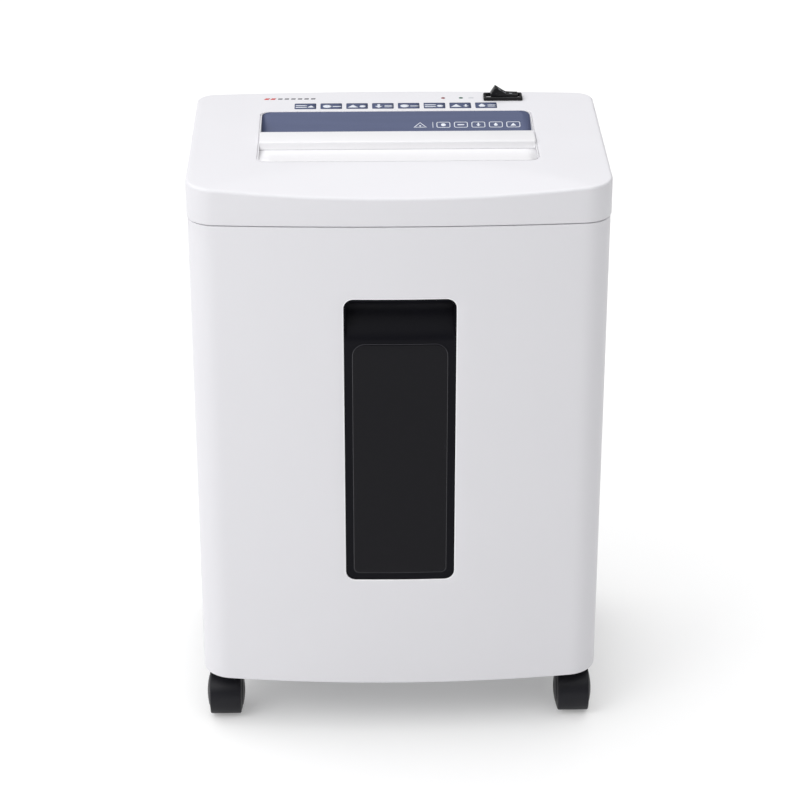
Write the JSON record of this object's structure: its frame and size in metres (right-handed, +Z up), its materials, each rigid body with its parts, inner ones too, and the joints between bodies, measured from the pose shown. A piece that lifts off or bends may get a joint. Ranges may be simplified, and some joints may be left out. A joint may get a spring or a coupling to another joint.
{
  "type": "paper shredder",
  "caption": "Free-standing cross-cut paper shredder with a top feed slot, a pull-out waste bin with a window, a rocker switch and swivel casters.",
  "frame": {"origin": "on the floor, midway across the body's width and depth", "axes": "+Z up, -Y towards the user, +X to the user's right when facing the front"},
  "size_m": [0.355, 0.255, 0.5311],
  "materials": {
    "white_plastic": "satin moulded ABS, fine grain",
    "insert_plastic": "satin moulded ABS",
    "navy_film": "printed film, satin",
    "dark_plastic": "fine textured, near black",
    "smoked_pane": "smoked, opaque in use",
    "caster_plastic": "satin nylon",
    "wheel_plastic": "hard plastic tyre and hub in one",
    "switch_plastic": "black, satin moulding",
    "red_lens": "tinted clear",
    "green_lens": "tinted clear",
    "circuit_board": "solder mask",
    "grey_plastic": "unpolished inner moulding",
    "bin_plastic": "thin polypropylene",
    "nylon": "natural nylon",
    "cutter_steel": "hardened, oiled",
    "plate_steel": "zinc plated sheet",
    "gear_steel": "sintered, oiled",
    "lamination_steel": "varnished lamination stack",
    "bronze": "oil-soaked sintered bronze",
    "aluminium": "drawn can",
    "black_plastic": "moulded nylon",
    "magnet": "ferrite block",
    "screw_steel": "zinc plated"
  },
  "bodies": {
    "cabinet": {"head_cover": "white_plastic", "throat_insert": "insert_plastic", "guide_bar": "insert_plastic", "guide_label": "navy_film", "switch_housing": "switch_plastic", "red_lamp_lens": "red_lens", "green_lamp_lens": "green_lens", "control_board": "circuit_board", "mechanism_tray": "grey_plastic", "left_side_plate": "plate_steel", "right_side_plate": "plate_steel", "tie_rods": "plate_steel", "shaft_bushes": "bronze", "front_stripper_comb": "nylon", "rear_stripper_comb": "nylon", "idler_axle": "screw_steel", "motor_stack": "lamination_steel", "motor_end_bells": "aluminium", "gear_cover": "plate_steel", "spacer_posts": "screw_steel", "mechanism_screws": "screw_steel", "foot_brackets": "plate_steel", "run_capacitor": "aluminium", "capacitor_clip": "black_plastic", "paper_sensor": "black_plastic", "reed_sensor": "black_plastic", "cord_gland": "black_plastic", "left_side_panel": "white_plastic", "right_side_panel": "white_plastic", "rear_panel": "white_plastic", "base_tray": "grey_plastic", "cabinet_screws": "screw_steel", "caster_sockets": "nylon", "runners": "nylon"},
    "front_cutter_shaft": {"front_cutter": "cutter_steel", "front_sync_gear": "gear_steel"},
    "rear_cutter_shaft": {"rear_cutter": "cutter_steel", "rear_sync_gear": "gear_steel", "drive_gear": "gear_steel"},
    "idler": {"idler_gear": "nylon"},
    "rotor": {"motor_rotor": "gear_steel"},
    "drawer": {"front_panel": "white_plastic", "window_moulding": "dark_plastic", "window_pane": "smoked_pane", "bin_tub": "bin_plastic", "drawer_screws": "screw_steel", "bin_magnet": "magnet"},
    "rocker": {"rocker_button": "switch_plastic"},
    "front_left_caster": {"front_left_caster_fork": "caster_plastic"},
    "front_left_left_wheel": {"front_left_left_wheel": "wheel_plastic"},
    "front_left_right_wheel": {"front_left_right_wheel": "wheel_plastic"},
    "front_right_caster": {"front_right_caster_fork": "caster_plastic"},
    "front_right_left_wheel": {"front_right_left_wheel": "wheel_plastic"},
    "front_right_right_wheel": {"front_right_right_wheel": "wheel_plastic"},
    "rear_left_caster": {"rear_left_caster_fork": "caster_plastic"},
    "rear_left_left_wheel": {"rear_left_left_wheel": "wheel_plastic"},
    "rear_left_right_wheel": {"rear_left_right_wheel": "wheel_plastic"},
    "rear_right_caster": {"rear_right_caster_fork": "caster_plastic"},
    "rear_right_left_wheel": {"rear_right_left_wheel": "wheel_plastic"},
    "rear_right_right_wheel": {"rear_right_right_wheel": "wheel_plastic"}
  },
  "joints": [
    {"name": "cutter_drive", "type": "hinge", "parent": "cabinet", "child": "rear_cutter_shaft", "pos_m": [0, 0.039, 0.445], "axis": [1, 0, 0], "continuous": true},
    {"name": "front_cutter_spin", "type": "hinge", "parent": "cabinet", "child": "front_cutter_shaft", "pos_m": [0, 0.005, 0.445], "axis": [1, 0, 0], "continuous": true},
    {"name": "idler_spin", "type": "hinge", "parent": "cabinet", "child": "idler", "pos_m": [0.144, 0.06612, 0.47997], "axis": [1, 0, 0], "continuous": true},
    {"name": "rotor_spin", "type": "hinge", "parent": "cabinet", "child": "rotor", "pos_m": [0.1, 0.088, 0.445], "axis": [1, 0, 0], "continuous": true},
    {"name": "drawer_slide", "type": "slide", "parent": "cabinet", "child": "drawer", "axis": [0, -1, 0], "range_m": [0, 0.2]},
    {"name": "rocker_tilt", "type": "hinge", "parent": "cabinet", "child": "rocker", "pos_m": [0.0974, 0.106, 0.5205], "axis": [0, 1, 0], "range_deg": [-36, 0]},
    {"name": "front_left_swivel", "type": "hinge", "parent": "cabinet", "child": "front_left_caster", "pos_m": [-0.158, -0.073, 0.049], "axis": [0, 0, 1], "continuous": true},
    {"name": "front_left_left_roll", "type": "hinge", "parent": "front_left_caster", "child": "front_left_left_wheel", "pos_m": [-0.158, -0.087, 0.02], "axis": [1, 0, 0], "continuous": true},
    {"name": "front_left_right_roll", "type": "hinge", "parent": "front_left_caster", "child": "front_left_right_wheel", "pos_m": [-0.158, -0.087, 0.02], "axis": [1, 0, 0], "continuous": true},
    {"name": "front_right_swivel", "type": "hinge", "parent": "cabinet", "child": "front_right_caster", "pos_m": [0.158, -0.073, 0.049], "axis": [0, 0, 1], "continuous": true},
    {"name": "front_right_left_roll", "type": "hinge", "parent": "front_right_caster", "child": "front_right_left_wheel", "pos_m": [0.158, -0.087, 0.02], "axis": [1, 0, 0], "continuous": true},
    {"name": "front_right_right_roll", "type": "hinge", "parent": "front_right_caster", "child": "front_right_right_wheel", "pos_m": [0.158, -0.087, 0.02], "axis": [1, 0, 0], "continuous": true},
    {"name": "rear_left_swivel", "type": "hinge", "parent": "cabinet", "child": "rear_left_caster", "pos_m": [-0.158, 0.092, 0.049], "axis": [0, 0, 1], "continuous": true},
    {"name": "rear_left_left_roll", "type": "hinge", "parent": "rear_left_caster", "child": "rear_left_left_wheel", "pos_m": [-0.158, 0.078, 0.02], "axis": [1, 0, 0], "continuous": true},
    {"name": "rear_left_right_roll", "type": "hinge", "parent": "rear_left_caster", "child": "rear_left_right_wheel", "pos_m": [-0.158, 0.078, 0.02], "axis": [1, 0, 0], "continuous": true},
    {"name": "rear_right_swivel", "type": "hinge", "parent": "cabinet", "child": "rear_right_caster", "pos_m": [0.158, 0.092, 0.049], "axis": [0, 0, 1], "continuous": true},
    {"name": "rear_right_left_roll", "type": "hinge", "parent": "rear_right_caster", "child": "rear_right_left_wheel", "pos_m": [0.158, 0.078, 0.02], "axis": [1, 0, 0], "continuous": true},
    {"name": "rear_right_right_roll", "type": "hinge", "parent": "rear_right_caster", "child": "rear_right_right_wheel", "pos_m": [0.158, 0.078, 0.02], "axis": [1, 0, 0], "continuous": true}
  ],
  "couplings": [
    {"joint": "front_cutter_spin", "follows": "cutter_drive", "ratio": -1},
    {"joint": "idler_spin", "follows": "cutter_drive", "ratio": -3.2143},
    {"joint": "rotor_spin", "follows": "cutter_drive", "ratio": 11.939}
  ]
}
